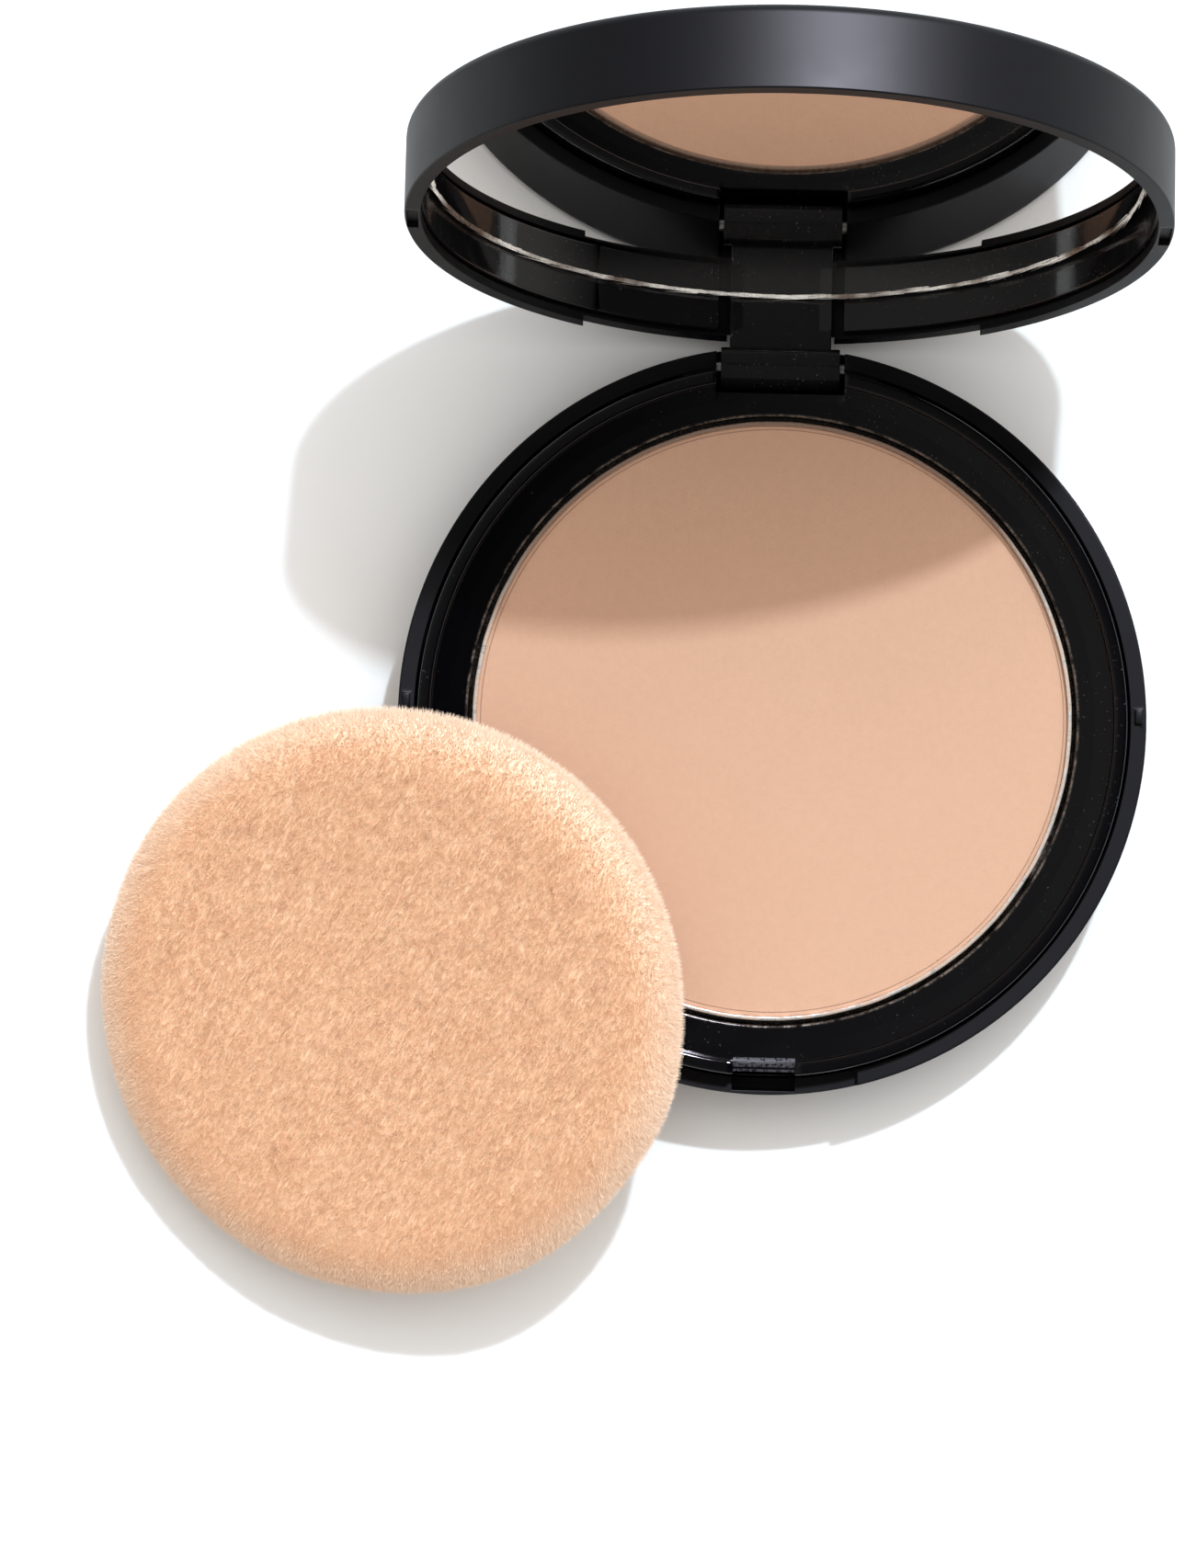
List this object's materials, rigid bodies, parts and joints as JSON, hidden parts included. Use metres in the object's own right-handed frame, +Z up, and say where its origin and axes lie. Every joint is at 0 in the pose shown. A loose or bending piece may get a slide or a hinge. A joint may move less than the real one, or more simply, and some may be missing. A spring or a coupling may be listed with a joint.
{
  "type": "powder compact",
  "caption": "Round hinged face-powder compact, standing open, with a mirror in the lid, a pressed cake in a metal pan and a round velour puff leaning on its rim.",
  "frame": {"origin": "centre of the flat underside of the base, on the surface that the compact stands on", "axes": "+Z up from the underside, +Y from the clasp at the front to the hinge at the back, +X along the hinge pin to the right as seen from the clasp"},
  "size_m": [0.1022, 0.1244, 0.0726],
  "materials": {
    "soft_touch_black": "matt, very fine grain",
    "gloss_black": "polished",
    "steel": "drawn wire, bright",
    "aluminium": "satin, drawn sheet",
    "pressed_powder": "dry pressed powder with a fine woven press mark",
    "tape": "dull",
    "silvered_glass": "mirror polish",
    "velour": "short dense pile",
    "foam": "open-cell foam"
  },
  "bodies": {
    "base": {"base_shell": "soft_touch_black", "inner_frame": "gloss_black", "hinge_pin": "steel", "pan": "aluminium", "pan_tape": "tape", "powder_cake": "pressed_powder"},
    "lid": {"lid_shell": "soft_touch_black", "lid_liner": "gloss_black", "mirror": "silvered_glass", "mirror_tape": "tape"},
    "puff": {"puff_front": "velour", "puff_back": "velour", "puff_foam": "foam"}
  },
  "joints": [
    {"name": "lid_hinge", "type": "hinge", "parent": "base", "child": "lid", "pos_m": [0, 0.0346, 0.0056], "axis": [1, 0, 0], "range_deg": [0, 108]},
    {"name": "puff_turn", "type": "hinge", "parent": "base", "child": "puff", "pos_m": [-0.05601, -0.04314, 0.0041], "axis": [0.6101, -0.7923, 0], "range_deg": [0, 164.45]}
  ],
  "couplings": [
    {"joint": "puff_turn", "follows": "lid_hinge", "ratio": 1.5226}
  ]
}
